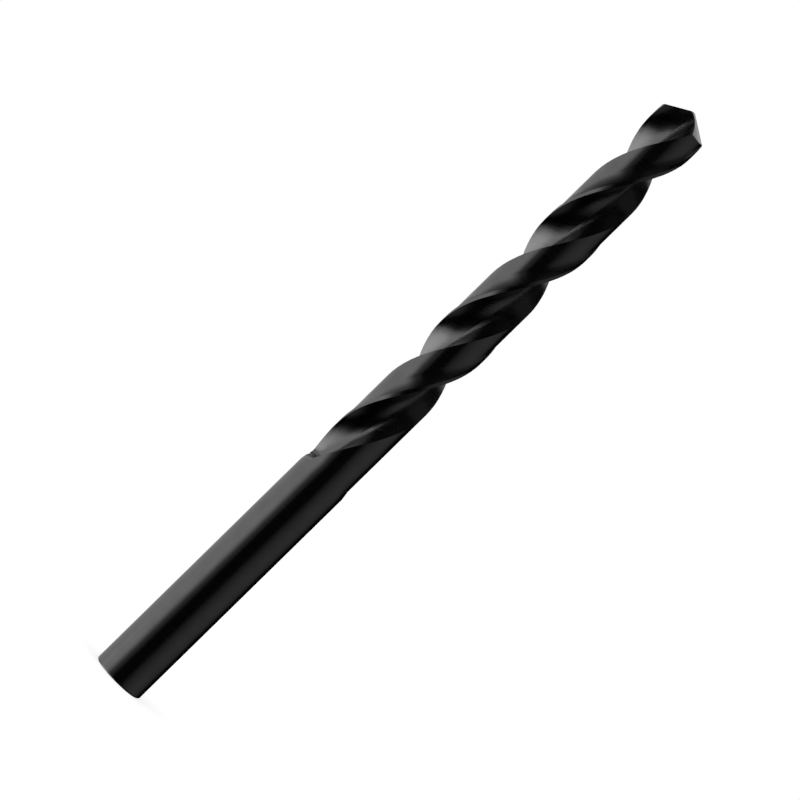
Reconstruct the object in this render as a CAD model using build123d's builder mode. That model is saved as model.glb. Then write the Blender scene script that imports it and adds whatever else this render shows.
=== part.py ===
from build123d import *
import math
import os

os.makedirs("parts", exist_ok=True)

# Driving dimensions, in millimetres and degrees.
# The drill stands on its shank end with its point up, and its axis is +Z.

# Whole drill
drill_diameter = 8.5
overall_length = 117.0

# Plain shank
shank_diameter = 8.5
shank_length = 41.4
shank_edge_break = 0.2
shoulder_length = 1.4

# Lands
land_clearance = 0.22
margin_width = 0.7

# Flutes
flute_lead = 41.7
flute_opening = 101.0
flute_root_radius = 1.2
half_web_at_point = 0.75
web_growth = 0.011
second_flute_setback = 9.5

# Each flute ends in a long arc of the grinding wheel and a short steep arc above the shank.
runout_gap = 0.5
wheel_arc_length = 9.1
wheel_arc_radius = 21.0
end_arc_length = 1.6
end_arc_radius = 0.5

# Point
point_angle = 118.0
lip_bearing = 22.5
flank_setover = 1.07
flank_tilt = 6.0

# How far a cutter reaches past the metal, and how its sections are spaced
overshoot = 0.5
section_spacing = 2.6
wheel_arc_steps = 6
end_arc_steps = 4

# Worked out from the driving dimensions
body_radius = drill_diameter / 2
shank_radius = shank_diameter / 2
land_radius = body_radius - land_clearance
shoulder_top = shank_length + shoulder_length
half_point = math.radians(point_angle / 2)
tilt = math.radians(flank_tilt)
turn_per_mm = 2 * math.pi / flute_lead
top = overall_length + overshoot


def polar(radius, bearing):
    """A point in the section plane, from its radius and its bearing in radians."""
    return Vector(radius * math.cos(bearing), radius * math.sin(bearing))


# Each flank is part of a cone whose apex lies on the line of its own lip, set over past the
# drill's axis. The cone is tilted about that line, so the metal behind the lip drops away.
# The direction of its axis, in a frame whose X axis lies along the lip:
flank_axis = Vector(
    math.sin(half_point) * math.cos(half_point) * (1 - math.cos(tilt)),
    math.sin(half_point) * math.sin(tilt),
    -math.cos(tilt) - math.cos(half_point) ** 2 * (1 - math.cos(tilt)),
)

# The apex stands above the chisel edge by the root of a quadratic, which puts the middle of
# the chisel edge on the cone.
sideways = flank_setover * flank_axis.X - half_web_at_point * flank_axis.Y
setover_squared = flank_setover**2 + half_web_at_point**2
quadratic = flank_axis.Z**2 - math.cos(half_point) ** 2
linear = -sideways * flank_axis.Z
constant = sideways**2 - setover_squared * math.cos(half_point) ** 2
apex_rise = (math.sqrt(linear**2 - quadratic * constant) - linear) / quadratic
lip_centre_height = overall_length + apex_rise - flank_setover / math.tan(half_point)
lip_run = math.sqrt(body_radius**2 - half_web_at_point**2)
corner_height = lip_centre_height - lip_run / math.tan(half_point)


def half_web(height):
    """Half of the web's thickness, which grows from the point towards the shank."""
    return half_web_at_point + web_growth * max(0.0, corner_height - height)


# A straight lip asks for a rake face that turns evenly along the lip, seen in section.
rake_turn = turn_per_mm / math.tan(half_point)


def corner_in_section(height):
    """Bearing of the margin's leading corner in the section plane."""
    web = half_web(height)
    run = math.sqrt(body_radius**2 - web**2)
    return math.atan2(web, run) + rake_turn * run


def section_turn(height):
    """Turn in radians of the first flute's section plane, which follows the helix."""
    from_corner = turn_per_mm * (height - corner_height)
    return math.radians(lip_bearing) + from_corner - corner_in_section(corner_height)


def flute_section(height, lift):
    """Section of one flute's cutter, lifted out of the metal along the heel wall."""
    web = half_web(height)
    corner = corner_in_section(height)
    heel = corner_in_section(corner_height) + math.radians(flute_opening)

    # The rake face leaves the web at a tangent and runs past the corner of the margin. Its end
    # and the directions at its two ends give the curve.
    run = math.sqrt((body_radius + overshoot) ** 2 - web**2)
    turned = Plane.XY.rotated((0, 0, math.degrees(rake_turn * run)))
    rake_end = turned.from_local_coords((run, web))
    handle = run * (1 - rake_turn * web) / 3
    rake_end_handle = turned.from_local_coords((run - handle, web - rake_turn * run**2 / 3))

    # The root is an arc, and the straight heel wall is tangent to it.
    root_centre = Vector(0, web + flute_root_radius)
    heel_point = polar(land_radius, heel)
    to_heel = heel_point - root_centre
    root_end_bearing = math.atan2(to_heel.Y, to_heel.X) + math.acos(flute_root_radius / to_heel.length)
    root_end = root_centre + polar(flute_root_radius, root_end_bearing)
    heel_wall = (heel_point - root_end).normalized()
    heel_end = heel_point + heel_wall * (land_clearance + overshoot)

    level = Plane.XY.offset(height).rotated((0, 0, math.degrees(section_turn(height))))
    lifted = Plane(origin=level.from_local_coords(heel_wall * lift), x_dir=level.x_dir)
    with BuildSketch(lifted) as section:
        with BuildLine():
            Bezier((0, web), (handle, web), rake_end_handle, rake_end)
            TangentArc((0, web), root_end, tangent=(-1, 0))
            Line(root_end, heel_end)
            ThreePointArc(heel_end, polar(body_radius + 2 * overshoot, (corner + heel) / 2), rake_end)
        make_face()
    return section.sketch


def evenly(start, end, steps):
    """Heights from a start up to just below an end."""
    return [start + (end - start) * step / steps for step in range(steps)]


def runout_lift(height, end):
    """How far the cutter of a flute that ends at a height has left the metal."""
    wheel_arc = max(0.0, end + wheel_arc_length - height)
    end_arc = max(0.0, end + end_arc_length - height)
    return wheel_arc**2 / (2 * wheel_arc_radius) + end_arc**2 / (2 * end_arc_radius)


def flute_cutter(end):
    """The first flute's cutter, which has left the metal at a height above the shank."""
    heights = evenly(end, end + end_arc_length, end_arc_steps)
    heights += evenly(end + end_arc_length, end + wheel_arc_length, wheel_arc_steps)
    full_length = top + overshoot - end - wheel_arc_length
    heights += evenly(end + wheel_arc_length, top + overshoot, math.ceil(full_length / section_spacing))
    heights.append(top + overshoot)
    return loft([flute_section(height, runout_lift(height, end)) for height in heights])


def margin_keeper(bottom):
    """The strip beside the first flute that is left standing as its margin."""
    bottom_corner = section_turn(bottom) + corner_in_section(bottom)
    far = top + 2 * overshoot
    far_corner = section_turn(far) + corner_in_section(far)
    margin_lead = 2 * math.pi * (far - bottom) / (far_corner - bottom_corner)
    trailing = bottom_corner - margin_width / body_radius
    leading = trailing + math.radians(flute_opening) / 2
    inner = land_radius - overshoot
    outer = body_radius + 2 * overshoot
    with BuildSketch(Plane.XY.offset(bottom)) as strip:
        with BuildLine():
            Line(polar(inner, trailing), polar(outer, trailing))
            ThreePointArc(polar(outer, trailing), polar(outer, (trailing + leading) / 2), polar(outer, leading))
            Line(polar(outer, leading), polar(inner, leading))
            ThreePointArc(polar(inner, leading), polar(inner, (trailing + leading) / 2), polar(inner, trailing))
        make_face()
    with BuildLine() as axis:
        Line((0, 0, bottom), (0, 0, far))
    with BuildLine() as guide:
        Helix(pitch=margin_lead, height=far - bottom, radius=body_radius, center=(0, 0, bottom))
    return sweep(strip.sketch, path=axis.wire(), binormal=guide.wire())


# The second flute and its margin stop short of the first.
first_flute = flute_cutter(shank_length + runout_gap)
second_flute = flute_cutter(shank_length + runout_gap + second_flute_setback).rotate(Axis.Z, 180)
first_margin = margin_keeper(shoulder_top)
second_margin = margin_keeper(shoulder_top + second_flute_setback).rotate(Axis.Z, 180)

# The metal that is ground away behind the margins, down to the shoulder
with BuildPart() as clearance:
    with BuildSketch(Plane.XZ) as ring:
        Polygon(
            (land_radius, shoulder_top),
            (land_radius, top + overshoot),
            (body_radius + overshoot / 2, top + overshoot),
            (body_radius + overshoot / 2, shank_length),
            (max(body_radius, shank_radius), shank_length),
            align=None,
        )
    revolve(axis=Axis.Z)
    add(first_margin, mode=Mode.SUBTRACT)
    add(second_margin, mode=Mode.SUBTRACT)

# The grinding cone of the first flank, with its apex up
lip_frame = Plane.XY.rotated((0, 0, lip_bearing - math.degrees(math.atan2(half_web_at_point, lip_run))))
flank_frame = Plane(
    origin=lip_frame.from_local_coords((-flank_setover, half_web_at_point, overall_length + apex_rise)),
    z_dir=lip_frame.from_local_coords(flank_axis * -1),
)
flank_depth = 2 * overall_length
with BuildPart(flank_frame) as flank:
    Cone(
        bottom_radius=flank_depth * math.tan(half_point),
        top_radius=0,
        height=flank_depth,
        align=(Align.CENTER, Align.CENTER, Align.MAX),
    )

with BuildPart() as twist_drill:
    with BuildSketch(Plane.XZ) as half_blank:
        Polygon(
            (0, 0),
            (shank_radius - shank_edge_break, 0),
            (shank_radius, shank_edge_break),
            (shank_radius, shank_length),
            (body_radius, shank_length),
            (body_radius, top),
            (0, top),
            align=None,
        )
    revolve(axis=Axis.Z)
    add(first_flute, mode=Mode.SUBTRACT)
    add(second_flute, mode=Mode.SUBTRACT)
    add(clearance.part, mode=Mode.SUBTRACT)
    add(flank.part, mode=Mode.INTERSECT)
    add(flank.part.rotate(Axis.Z, 180), mode=Mode.INTERSECT)

twist_drill.part.label = "twist_drill"
export_step(twist_drill.part, "parts/twist_drill.step")
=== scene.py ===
import math

import bpy
from mathutils import Matrix, Vector

# Dresses a blackened twist drill that stands on its shank end, and sets up the camera and the
# studio. Everything is in metres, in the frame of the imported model: the drill's axis is +Z, with
# its point up.

MM = 0.001

# The drill's own sizes, which place the marks of each grinding step
FLUTE_LEAD = 41.7 * MM
FLUTE_BEARING = math.radians(163.0)
SHANK_LENGTH = 41.4 * MM
LAND_RADIUS = 4.03 * MM

# Up to this height the shoulder and the end of the run-out are blended into the shank
RUNOUT_HEIGHT = 43.5 * MM
RUNOUT_BLEND = 0.3 * MM

# Depths below the lands at which a flute begins and is fully reached, and the depth of the skin
FLUTE_START = 0.05 * MM
FLUTE_REACHED = 0.25 * MM
SKIN_DEPTH = 0.08 * MM

# Each land rises to the step of its margin in a shallow hollow. The step's bearing beside its
# flute drifts with height, because the web thickens towards the shank.
MARGIN_BEARING = math.radians(-44.8)
MARGIN_DRIFT = math.radians(-131.0)
STEP_SOFTENING = math.radians(2.2)
HOLLOW_ARC = math.radians(29.0)
HOLLOW_START = 51.5 * MM
HOLLOW_GROWTH = 4.0 * MM
HOLLOW_DEPTH = 0.40 * MM

# Grinding marks: how often they repeat along X, Y and Z in a metre, and how strong they are
ROUND_MARKS = {"Fineness": (60.0, 60.0, 9000.0), "Contrast": 0.15}
WALL_MARKS = {"Fineness": (5200.0, 1300.0, 240.0), "Contrast": 1.0}
ROOT_MARKS = {"Fineness": (300.0, 300.0, 4600.0), "Contrast": 3.0}
ROOT_MARK_SLANT = math.radians(-28.0)
MARK_DEPTH = 0.012 * MM
MARK_STRENGTH = 0.6

# Streaks are wider than the marks, and repeat at this share of their fineness
STREAK_SCALE = 0.31

# The level about which a noise varies
NOISE_MIDDLE = 0.5

# Distances from the drill's axis at which a flute's root ends and its wall is reached
ROOT_ENDS = 1.5 * MM
WALL_REACHED = 2.4 * MM

# The black oxide, its clouds, and the steel under it, whose colour also paints light into the
# run-out
DEEP_OXIDE = (0.115, 0.115, 0.117, 1.0)
THIN_OXIDE = (0.133, 0.132, 0.132, 1.0)
STEEL_FOR_WEAR_AND_PAINTED_LIGHT = (0.36, 0.355, 0.35, 1.0)
CLOUD_SIZE = 3.2 * MM
SPECKLE_SIZE = 0.35 * MM
DEEP_CLOUD = 0.30
THIN_CLOUD = 0.72

# Wear: how much of the oxide is rubbed off the edges. Painted light: how far the end of the
# run-out is lightened towards bare steel to lift its shade
EDGE_WIDTH = 0.08 * MM
EDGE_WEAR = 0.10
RUNOUT_PAINTED_LIGHT = 0.35

# An edge is where the rounded and the flat normal part, by the cosine between them
EDGE_BEGINS = 0.995
EDGE_FULL = 0.93

# The wear of an edge is broken up by a noise, between a least share and all of it
BREAK_UP_SIZE = 0.9 * MM
BREAK_UP_LOW = 0.42
BREAK_UP_HIGH = 0.62
LEAST_SHARE = 0.15

# Roughness of the skin, and how far the marks and the speckles change it
LAND_ROUGHNESS = 0.17
FLUTE_ROUGHNESS = 0.20
STREAK_CHANGE = 0.16
SPECKLE_CHANGE = 0.06

# The photograph's camera: a long lens, rolled so that the drill lies across the frame
FRAME_PIXELS = 800
PIXELS_PER_MM = 6.899
CAMERA_DISTANCE = 0.420
CAMERA_ELEVATION = math.radians(1.0)
AXIS_ABOVE_LEVEL = math.radians(44.41)
MIDDLE_HEIGHT = 58.5 * MM
MIDDLE_PIXEL = (405.68, 396.41)
SENSOR_WIDTH = 36.0
NEAREST_SEEN = 0.01
FARTHEST_SEEN = 50.0

# The studio
FLOOR_SIZE = 6.0
FLOOR_COLOUR = (0.93, 0.93, 0.93, 1.0)
FLOOR_WHITENESS = 0.6
BACKGROUND_WHITE = (1.0, 1.0, 1.0, 1.0)
BACKGROUND_LEVEL = 1.0
SURROUND_FOR_LIGHT = 1.08
SOFTBOX_SIZE = 0.9

# What the steel mirrors: white on the left, black in front and grey on the right, by bearing
CARDS_BY_BEARING = [
    (-180, 0.50), (-140, 0.65), (-120, 0.92), (-60, 1.00), (-52, 0.82), (-40, 0.28), (-34, 0.13),
    (-26, 0.10), (-20, 0.01), (-12, 0.0), (20, 0.0), (42, 0.10), (60, 0.15), (80, 0.18),
    (95, 0.17), (113, 0.12), (132, 0.0), (172, 0.0), (180, 0.50),
]
# The same cards, by the sine of their elevation
CARDS_BY_RISE = [(-0.40, 0.0), (-0.20, 1.0), (0.13, 1.0), (0.22, 0.40), (0.36, 0.06), (0.45, 0.0)]
# A softbox low on the left, by the cosine of the angle from its middle, and cut off below
SOFTBOX_BY_NEARNESS = [(0.66, 0.0), (0.80, 1.1), (0.88, 1.8), (1.0, 2.4)]
SOFTBOX_BY_RISE = [(-0.94, 0.15), (-0.86, 1.0)]
# A faint bounce above the grey card
BOUNCE_BY_BEARING = [(-10, 0.0), (8, 0.045), (48, 0.045), (60, 0.01), (80, 0.0)]
BOUNCE_BY_RISE = [(0.30, 0.0), (0.50, 1.0), (0.85, 1.0), (0.93, 0.0)]
# The white backdrop, by how far a direction leans back and rises, and the light overhead
BACKDROP_BY_DEPTH = [(0.20, 0.0), (0.45, 0.55), (0.80, 0.90)]
BACKDROP_BY_RISE = [(0.20, 0.0), (0.45, 1.0)]
OVERHEAD_BY_RISE = [(0.93, 0.0), (0.98, 0.9)]

# Which output of a Mix node holds the result, for each kind of value
BLEND_RESULT = {"FLOAT": 0, "VECTOR": 1, "RGBA": 2}


def node(tree, kind, inputs=None, **settings):
    """Adds a node, with its settings and the links or plain values of its inputs."""
    made = tree.nodes.new(kind)
    for name, value in settings.items():
        setattr(made, name, value)
    for name, value in (inputs or {}).items():
        socket = made.inputs[name]
        if isinstance(value, bpy.types.NodeSocket):
            tree.links.new(value, socket)
        else:
            socket.default_value = value
    return made


def calculate(tree, operation, first, second=0.0, clamp=False):
    """Works out one value from two."""
    values = {0: first, 1: second}
    return node(tree, "ShaderNodeMath", values, operation=operation, use_clamp=clamp).outputs[0]


def on_vectors(tree, operation, first, second=(0.0, 0.0, 0.0)):
    """Works out a vector from two, or from one, and returns the node's outputs."""
    vectors = {0: first, 1: second}
    return node(tree, "ShaderNodeVectorMath", vectors, operation=operation).outputs


def separate(tree, vector):
    """The X, Y and Z of a vector."""
    return node(tree, "ShaderNodeSeparateXYZ", {"Vector": vector}).outputs


def between(tree, value, low, high, start=0.0, end=1.0, kind="LINEAR"):
    """Goes from a start to an end while a value goes from low to high."""
    limits = {"Value": value, "From Min": low, "From Max": high, "To Min": start, "To Max": end}
    return node(tree, "ShaderNodeMapRange", limits, interpolation_type=kind).outputs["Result"]


def blend(tree, share, first, second, kind="FLOAT"):
    """Blends two values, vectors or colours."""
    mixed = {"Factor": share, "A": first, "B": second}
    return node(tree, "ShaderNodeMix", mixed, data_type=kind).outputs[BLEND_RESULT[kind]]


def noise(tree, place, scale, detail, roughness):
    """Smooth random values over a position."""
    settings = {"Vector": place, "Scale": scale, "Detail": detail, "Roughness": roughness}
    return node(tree, "ShaderNodeTexNoise", settings).outputs["Fac"]


def own_position(tree):
    """The position on the drill, in metres."""
    return node(tree, "ShaderNodeTexCoord").outputs["Object"]


def group(name, inputs, outputs):
    """Starts a shader node group and returns its tree, its inputs and a link to its output."""
    tree = bpy.data.node_groups.new(name, "ShaderNodeTree")
    for socket_name, kind, value in inputs:
        socket = tree.interface.new_socket(name=socket_name, in_out="INPUT", socket_type=kind)
        if value is not None:
            socket.default_value = value
    for socket_name, kind in outputs:
        tree.interface.new_socket(name=socket_name, in_out="OUTPUT", socket_type=kind)
    given = tree.nodes.new("NodeGroupInput").outputs
    result = tree.nodes.new("NodeGroupOutput")

    def put_out(socket_name, socket):
        tree.links.new(socket, result.inputs[socket_name])

    return tree, given, put_out


def use(tree, shared, inputs):
    """Places a shared group in a material and returns its outputs."""
    placed = tree.nodes.new("ShaderNodeGroup")
    placed.node_tree = shared
    for name, value in inputs.items():
        if isinstance(value, bpy.types.NodeSocket):
            tree.links.new(value, placed.inputs[name])
        else:
            placed.inputs[name].default_value = value
    return placed.outputs


def drill_regions():
    """Masks of the flutes, the shoulder and the lands, the hollows that lead up to the margins,
    and a position in which both flutes run straight up."""
    tree, given, put_out = group(
        "drill regions",
        [
            ("Flute Lead", "NodeSocketFloat", 0.04),
            ("Flute Bearing", "NodeSocketFloat", 0.0),
            ("Land Radius", "NodeSocketFloat", 0.004),
            ("Shank Length", "NodeSocketFloat", 0.04),
            ("Run-out Height", "NodeSocketFloat", 0.04),
            ("Margin Bearing", "NodeSocketFloat", 0.0),
            ("Margin Drift", "NodeSocketFloat", 0.0),
            ("Hollow Arc", "NodeSocketFloat", 0.4),
            ("Hollow Start", "NodeSocketFloat", 0.05),
        ],
        [
            ("In Flute", "NodeSocketVector"),
            ("Flute", "NodeSocketFloat"),
            ("Shoulder", "NodeSocketFloat"),
            ("Outward", "NodeSocketVector"),
            ("Behind Margin", "NodeSocketFloat"),
            ("Hollow", "NodeSocketFloat"),
        ],
    )
    place = own_position(tree)
    split = separate(tree, place)

    # Turned back by the helix, with both flutes folded onto the +X axis
    turns = calculate(tree, "DIVIDE", split["Z"], given["Flute Lead"])
    helix_turn = calculate(tree, "MULTIPLY", turns, 2 * math.pi)
    turned_by = calculate(tree, "ADD", helix_turn, given["Flute Bearing"])
    back_turn = calculate(tree, "MULTIPLY", turned_by, -1.0)
    untwisted = node(
        tree,
        "ShaderNodeVectorRotate",
        {"Vector": place, "Angle": back_turn},
        rotation_type="Z_AXIS",
    ).outputs["Vector"]
    turned = separate(tree, untwisted)
    side = calculate(tree, "SIGN", turned["X"])
    outwards = calculate(tree, "MULTIPLY", turned["X"], side)
    across = calculate(tree, "MULTIPLY", turned["Y"], side)
    folded = {"X": outwards, "Y": across, "Z": turned["Z"]}
    put_out("In Flute", node(tree, "ShaderNodeCombineXYZ", folded).outputs[0])

    level_place = {"X": split["X"], "Y": split["Y"]}
    from_axis = node(tree, "ShaderNodeCombineXYZ", level_place).outputs[0]
    radius = on_vectors(tree, "LENGTH", from_axis)["Value"]
    depth = calculate(tree, "SUBTRACT", given["Land Radius"], radius)
    put_out("Flute", between(tree, depth, FLUTE_START, FLUTE_REACHED, kind="SMOOTHSTEP"))

    # The shoulder and the last of the run-out are blended so softly that only their outline shows
    above_shank = calculate(tree, "GREATER_THAN", split["Z"], given["Shank Length"])
    runout_low = given["Run-out Height"]
    runout_high = calculate(tree, "ADD", runout_low, RUNOUT_BLEND)
    below_flutes = between(tree, split["Z"], runout_low, runout_high, 1.0, 0.0, "SMOOTHSTEP")
    put_out("Shoulder", calculate(tree, "MULTIPLY", above_shank, below_flutes))

    # The land rises to its margin in a shallow hollow, and the step at the margin is softened
    around = calculate(tree, "ARCTAN2", across, outwards)
    drift = calculate(tree, "MULTIPLY", split["Z"], given["Margin Drift"])
    margin_at = calculate(tree, "ADD", given["Margin Bearing"], drift)
    past_margin = calculate(tree, "SUBTRACT", around, margin_at)
    behind = calculate(tree, "LESS_THAN", past_margin, STEP_SOFTENING)
    on_skin = calculate(tree, "LESS_THAN", depth, SKIN_DEPTH)
    skin_above = calculate(tree, "MULTIPLY", on_skin, above_shank)
    put_out("Behind Margin", calculate(tree, "MULTIPLY", behind, skin_above))
    along_hollow = calculate(tree, "DIVIDE", past_margin, given["Hollow Arc"])
    risen = calculate(tree, "ADD", along_hollow, 1.0, clamp=True)
    rise = calculate(tree, "MULTIPLY", risen, risen)
    hollow_low = given["Hollow Start"]
    hollow_high = calculate(tree, "ADD", hollow_low, HOLLOW_GROWTH)
    begun = between(tree, split["Z"], hollow_low, hollow_high, kind="SMOOTHSTEP")
    put_out("Hollow", calculate(tree, "MULTIPLY", rise, begun))

    outward = node(
        tree,
        "ShaderNodeVectorTransform",
        {"Vector": from_axis},
        vector_type="NORMAL",
        convert_from="OBJECT",
        convert_to="WORLD",
    ).outputs["Vector"]
    put_out("Outward", on_vectors(tree, "NORMALIZE", outward)["Vector"])
    return tree


def grinding_marks():
    """Fine parallel scratches of a grinding wheel, as a height and as wider streaks."""
    tree, given, put_out = group(
        "grinding marks",
        [
            ("Position", "NodeSocketVector", None),
            ("Fineness", "NodeSocketVector", (1.0, 1.0, 1.0)),
            ("Contrast", "NodeSocketFloat", 1.0),
        ],
        [("Height", "NodeSocketFloat"), ("Streaks", "NodeSocketFloat")],
    )
    stretched = on_vectors(tree, "MULTIPLY", given["Position"], given["Fineness"])["Vector"]
    fine = noise(tree, stretched, scale=1.0, detail=3.0, roughness=0.65)
    centred = calculate(tree, "SUBTRACT", fine, NOISE_MIDDLE)
    scaled = calculate(tree, "MULTIPLY", centred, given["Contrast"])
    put_out("Height", calculate(tree, "ADD", scaled, NOISE_MIDDLE))
    put_out("Streaks", noise(tree, stretched, scale=STREAK_SCALE, detail=1.0, roughness=0.4))
    return tree


def oxide_bloom():
    """Cloudy unevenness of a steam-tempered oxide skin."""
    tree, given, put_out = group(
        "oxide bloom",
        [("Cloud Size", "NodeSocketFloat", 0.003), ("Speckle Size", "NodeSocketFloat", 0.0004)],
        [("Clouds", "NodeSocketFloat"), ("Speckles", "NodeSocketFloat")],
    )
    place = own_position(tree)
    cloud_scale = calculate(tree, "DIVIDE", 1.0, given["Cloud Size"])
    speckle_scale = calculate(tree, "DIVIDE", 1.0, given["Speckle Size"])
    put_out("Clouds", noise(tree, place, cloud_scale, detail=4.0, roughness=0.55))
    put_out("Speckles", noise(tree, place, speckle_scale, detail=2.0, roughness=0.6))
    return tree


def rubbed_edges():
    """A mask of the sharp edges, broken up where the oxide is rubbed thin, and their rounding."""
    tree, given, put_out = group(
        "rubbed edges",
        [("Edge Width", "NodeSocketFloat", 0.0001), ("Break-up Size", "NodeSocketFloat", 0.0008)],
        [("Edge", "NodeSocketFloat"), ("Rounded Normal", "NodeSocketVector")],
    )
    rounding = {"Radius": given["Edge Width"]}
    rounded = node(tree, "ShaderNodeBevel", rounding, samples=6).outputs["Normal"]
    flat = node(tree, "ShaderNodeNewGeometry").outputs["Normal"]
    agree = on_vectors(tree, "DOT_PRODUCT", rounded, flat)["Value"]
    edge = between(tree, agree, EDGE_BEGINS, EDGE_FULL)
    break_up_scale = calculate(tree, "DIVIDE", 1.0, given["Break-up Size"])
    uneven = noise(tree, own_position(tree), break_up_scale, detail=3.0, roughness=0.5)
    kept = between(tree, uneven, BREAK_UP_LOW, BREAK_UP_HIGH, start=LEAST_SHARE)
    put_out("Edge", calculate(tree, "MULTIPLY", edge, kept))
    put_out("Rounded Normal", rounded)
    return tree


def black_oxide_steel(regions, marks, bloom, edges):
    """High speed steel, ground and then steam tempered to a satin black skin."""
    material = bpy.data.materials.new("black_oxide_steel")
    material.use_nodes = True
    tree = material.node_tree
    surface = tree.nodes["Principled BSDF"]

    region = use(
        tree,
        regions,
        {
            "Flute Lead": FLUTE_LEAD,
            "Flute Bearing": FLUTE_BEARING,
            "Land Radius": LAND_RADIUS,
            "Shank Length": SHANK_LENGTH,
            "Run-out Height": RUNOUT_HEIGHT,
            "Margin Bearing": MARGIN_BEARING,
            "Margin Drift": MARGIN_DRIFT,
            "Hollow Arc": HOLLOW_ARC,
            "Hollow Start": HOLLOW_START,
        },
    )
    skin = use(tree, bloom, {"Cloud Size": CLOUD_SIZE, "Speckle Size": SPECKLE_SIZE})
    rubbed = use(tree, edges, {"Edge Width": EDGE_WIDTH, "Break-up Size": BREAK_UP_SIZE})

    # The shank and the lands are ground round and round. The flutes are scratched along their
    # walls and aslant across their roots.
    round_marks = use(tree, marks, {"Position": own_position(tree), **ROUND_MARKS})
    wall_marks = use(tree, marks, {"Position": region["In Flute"], **WALL_MARKS})
    aslant = node(
        tree,
        "ShaderNodeVectorRotate",
        {"Vector": region["In Flute"], "Angle": ROOT_MARK_SLANT},
        rotation_type="X_AXIS",
    ).outputs["Vector"]
    root_marks = use(tree, marks, {"Position": aslant, **ROOT_MARKS})
    on_wall = between(tree, separate(tree, region["In Flute"])["X"], ROOT_ENDS, WALL_REACHED)
    flute_height = blend(tree, on_wall, root_marks["Height"], wall_marks["Height"])
    flute_streaks = blend(tree, on_wall, root_marks["Streaks"], wall_marks["Streaks"])
    height = blend(tree, region["Flute"], round_marks["Height"], flute_height)
    streaks = blend(tree, region["Flute"], round_marks["Streaks"], flute_streaks)

    # The oxide's colour, rubbed thin at the edges, with painted light where the flute runs out:
    # that patch is lightened towards bare steel to lift its shade
    oxide = node(tree, "ShaderNodeValToRGB", {"Fac": skin["Clouds"]})
    deep, thin = oxide.color_ramp.elements
    deep.position, deep.color = DEEP_CLOUD, DEEP_OXIDE
    thin.position, thin.color = THIN_CLOUD, THIN_OXIDE
    edge_wear = calculate(tree, "MULTIPLY", rubbed["Edge"], EDGE_WEAR)
    runout = calculate(tree, "MULTIPLY", region["Flute"], region["Shoulder"])
    # Painted light: the end of the run-out is lightened towards bare steel, lifting the shade in
    # its hollow
    runout_painted_light = calculate(tree, "MULTIPLY", runout, RUNOUT_PAINTED_LIGHT)
    wear_and_painted_light = calculate(tree, "ADD", edge_wear, runout_painted_light)
    colour = blend(tree, wear_and_painted_light, oxide.outputs["Color"], STEEL_FOR_WEAR_AND_PAINTED_LIGHT, kind="RGBA")
    tree.links.new(colour, surface.inputs["Base Color"])
    surface.inputs["Metallic"].default_value = 1.0

    smooth = blend(tree, region["Flute"], LAND_ROUGHNESS, FLUTE_ROUGHNESS)
    centred_streaks = calculate(tree, "SUBTRACT", streaks, NOISE_MIDDLE)
    centred_speckles = calculate(tree, "SUBTRACT", skin["Speckles"], NOISE_MIDDLE)
    from_streaks = calculate(tree, "MULTIPLY", centred_streaks, STREAK_CHANGE)
    from_speckles = calculate(tree, "MULTIPLY", centred_speckles, SPECKLE_CHANGE)
    streaked = calculate(tree, "ADD", smooth, from_streaks)
    rough = calculate(tree, "ADD", streaked, from_speckles)
    tree.links.new(rough, surface.inputs["Roughness"])

    # The way the surface faces: rounded at its edges, plain on the shoulder, hollow behind the
    # margins, and scratched all over
    smoothed = blend(
        tree, region["Shoulder"], rubbed["Rounded Normal"], region["Outward"], kind="VECTOR"
    )
    hollow = node(
        tree,
        "ShaderNodeBump",
        {
            "Height": region["Hollow"],
            "Normal": region["Outward"],
            "Strength": 1.0,
            "Distance": HOLLOW_DEPTH,
        },
    ).outputs["Normal"]
    facing = blend(tree, region["Behind Margin"], smoothed, hollow, kind="VECTOR")
    scratched = node(
        tree,
        "ShaderNodeBump",
        {
            "Height": height,
            "Normal": facing,
            "Strength": MARK_STRENGTH,
            "Distance": MARK_DEPTH,
        },
    ).outputs["Normal"]
    tree.links.new(scratched, surface.inputs["Normal"])
    return material


def photograph_camera():
    """The photograph's viewpoint, with the drill's axis leaning across the frame."""
    forward = Vector((0, math.cos(CAMERA_ELEVATION), -math.sin(CAMERA_ELEVATION)))
    upright = Vector((0, math.sin(CAMERA_ELEVATION), math.cos(CAMERA_ELEVATION)))
    right = Vector((1, 0, 0))
    lean_cos = math.cos(AXIS_ABOVE_LEVEL)
    lean_sin = math.sin(AXIS_ABOVE_LEVEL)
    frame_right = right * lean_sin + upright * lean_cos
    frame_up = upright * lean_sin - right * lean_cos

    # The middle of the drill is a few pixels off the middle of the frame
    off_right = (MIDDLE_PIXEL[0] - FRAME_PIXELS / 2) / PIXELS_PER_MM * MM
    off_up = (FRAME_PIXELS / 2 - MIDDLE_PIXEL[1]) / PIXELS_PER_MM * MM
    aim = Vector((0, 0, MIDDLE_HEIGHT)) - frame_right * off_right - frame_up * off_up
    place = aim - forward * CAMERA_DISTANCE

    lens = bpy.data.cameras.new("photograph camera")
    lens.sensor_width = SENSOR_WIDTH
    frame_width = FRAME_PIXELS / PIXELS_PER_MM * MM
    lens.lens = SENSOR_WIDTH * CAMERA_DISTANCE / frame_width
    lens.clip_start = NEAREST_SEEN
    lens.clip_end = FARTHEST_SEEN
    camera = bpy.data.objects.new("photograph camera", lens)
    turn = Matrix((frame_right, frame_up, -forward)).transposed().to_4x4()
    camera.matrix_world = Matrix.Translation(place) @ turn
    bpy.context.scene.collection.objects.link(camera)
    bpy.context.scene.camera = camera


def background_rays(tree, path):
    """One where a ray is meant to find the white background: seen, mirrored or through glass."""
    seen = calculate(tree, "ADD", path["Is Camera Ray"], path["Is Glossy Ray"])
    return calculate(tree, "ADD", seen, path["Is Transmission Ray"], clamp=True)


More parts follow.
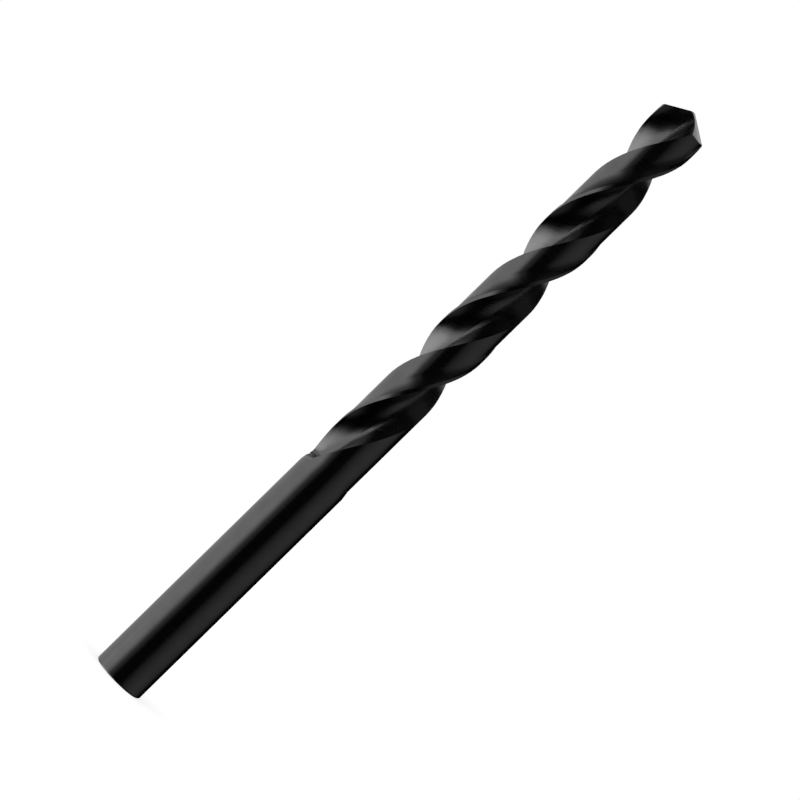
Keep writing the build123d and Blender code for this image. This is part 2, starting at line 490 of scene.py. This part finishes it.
def level_along(tree, value, stops):
    """Brightness along a value, blended between stops of the value and its level."""
    first, last = stops[0][0], stops[-1][0]
    highest = max(level for _, level in stops)
    curve = node(tree, "ShaderNodeValToRGB", {"Fac": between(tree, value, first, last)})
    elements = curve.color_ramp.elements
    while len(elements) < len(stops):
        elements.new(0.5)
    for element, (at, level) in zip(elements, stops):
        element.position = (at - first) / (last - first)
        element.color = (level / highest, level / highest, level / highest, 1.0)
    return calculate(tree, "MULTIPLY", curve.outputs["Color"], highest)


def studio_surround():
    """A white studio with a softbox low on the left, a black flag in front of the drill and a
    grey card on the right."""
    world = bpy.data.worlds.new("white studio")
    bpy.context.scene.world = world
    world.use_nodes = True
    tree = world.node_tree
    tree.nodes.clear()

    # Bearing round the drill in degrees, from 0 at the camera's side to 180 behind the drill
    direction = node(tree, "ShaderNodeTexCoord").outputs["Generated"]
    split = separate(tree, direction)
    rise = split["Z"]
    towards_camera = calculate(tree, "MULTIPLY", split["Y"], -1.0)
    radians = calculate(tree, "ARCTAN2", split["X"], towards_camera)
    bearing = calculate(tree, "MULTIPLY", radians, math.degrees(1.0))

    # Nearness to the middle of the low softbox
    softbox_direction = (-math.sin(AXIS_ABOVE_LEVEL), 0.0, -math.cos(AXIS_ABOVE_LEVEL))
    nearness = on_vectors(tree, "DOT_PRODUCT", direction, softbox_direction)["Value"]

    # Each light or card has a level in two ways, which are multiplied. The brightest is seen.
    level = level_along(tree, rise, OVERHEAD_BY_RISE)
    for first_value, first_stops, second_stops in (
        (bearing, CARDS_BY_BEARING, CARDS_BY_RISE),
        (nearness, SOFTBOX_BY_NEARNESS, SOFTBOX_BY_RISE),
        (bearing, BOUNCE_BY_BEARING, BOUNCE_BY_RISE),
        (split["Y"], BACKDROP_BY_DEPTH, BACKDROP_BY_RISE),
    ):
        first_level = level_along(tree, first_value, first_stops)
        second_level = level_along(tree, rise, second_stops)
        card = calculate(tree, "MULTIPLY", first_level, second_level)
        level = calculate(tree, "MAXIMUM", level, card)

    path = node(tree, "ShaderNodeLightPath").outputs
    surround = blend(tree, path["Is Glossy Ray"], BACKGROUND_LEVEL, level)
    seen = node(tree, "ShaderNodeBackground", {"Color": BACKGROUND_WHITE, "Strength": surround})
    lighting = node(
        tree, "ShaderNodeBackground", {"Color": BACKGROUND_WHITE, "Strength": SURROUND_FOR_LIGHT}
    )
    both = {0: background_rays(tree, path), 1: lighting.outputs[0], 2: seen.outputs[0]}
    mixed = node(tree, "ShaderNodeMixShader", both)
    node(tree, "ShaderNodeOutputWorld", {"Surface": mixed.outputs[0]})


def pale_floor():
    """The white table that the drill stands on, which keeps its shadow."""
    half = FLOOR_SIZE / 2
    corners = [(-half, -half, 0), (half, -half, 0), (half, half, 0), (-half, half, 0)]
    mesh = bpy.data.meshes.new("floor")
    mesh.from_pydata(corners, [], [(0, 1, 2, 3)])
    floor = bpy.data.objects.new("floor", mesh)
    bpy.context.scene.collection.objects.link(floor)

    material = bpy.data.materials.new("white table")
    material.use_nodes = True
    tree = material.node_tree
    tree.nodes.clear()
    path = node(tree, "ShaderNodeLightPath").outputs
    share = calculate(tree, "MULTIPLY", background_rays(tree, path), FLOOR_WHITENESS)
    lit = node(tree, "ShaderNodeBsdfDiffuse", {"Color": FLOOR_COLOUR})
    white = node(
        tree, "ShaderNodeEmission", {"Color": BACKGROUND_WHITE, "Strength": BACKGROUND_LEVEL}
    )
    mixed = node(tree, "ShaderNodeMixShader", {0: share, 1: lit.outputs[0], 2: white.outputs[0]})
    node(tree, "ShaderNodeOutputMaterial", {"Surface": mixed.outputs[0]})
    mesh.materials.append(material)
    floor.visible_glossy = False


def softbox(name, place, power):
    """A square soft lamp that looks at the middle of the drill."""
    lamp = bpy.data.lights.new(name, "AREA")
    lamp.shape = "SQUARE"
    lamp.size = SOFTBOX_SIZE
    lamp.energy = power
    holder = bpy.data.objects.new(name, lamp)
    holder.location = place
    aim = Vector((0, 0, MIDDLE_HEIGHT)) - Vector(place)
    holder.rotation_euler = aim.to_track_quat("-Z", "Y").to_euler()
    holder.visible_glossy = False
    bpy.context.scene.collection.objects.link(holder)


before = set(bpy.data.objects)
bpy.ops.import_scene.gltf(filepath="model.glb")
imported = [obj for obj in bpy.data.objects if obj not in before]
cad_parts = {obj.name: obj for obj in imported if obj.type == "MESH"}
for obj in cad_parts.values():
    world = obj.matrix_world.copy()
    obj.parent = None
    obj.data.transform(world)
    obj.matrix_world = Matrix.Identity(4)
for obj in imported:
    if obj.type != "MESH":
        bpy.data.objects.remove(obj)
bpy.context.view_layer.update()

photograph_camera()
studio_surround()
pale_floor()
softbox("key softbox", place=(-0.9, -0.7, 1.1), power=6.0)
softbox("fill softbox", place=(1.0, -0.4, 0.9), power=3.0)

steel = black_oxide_steel(drill_regions(), grinding_marks(), oxide_bloom(), rubbed_edges())
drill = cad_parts["twist_drill"]
drill.data.materials.clear()
drill.data.materials.append(steel)

bpy.context.scene.view_settings.view_transform = "Standard"
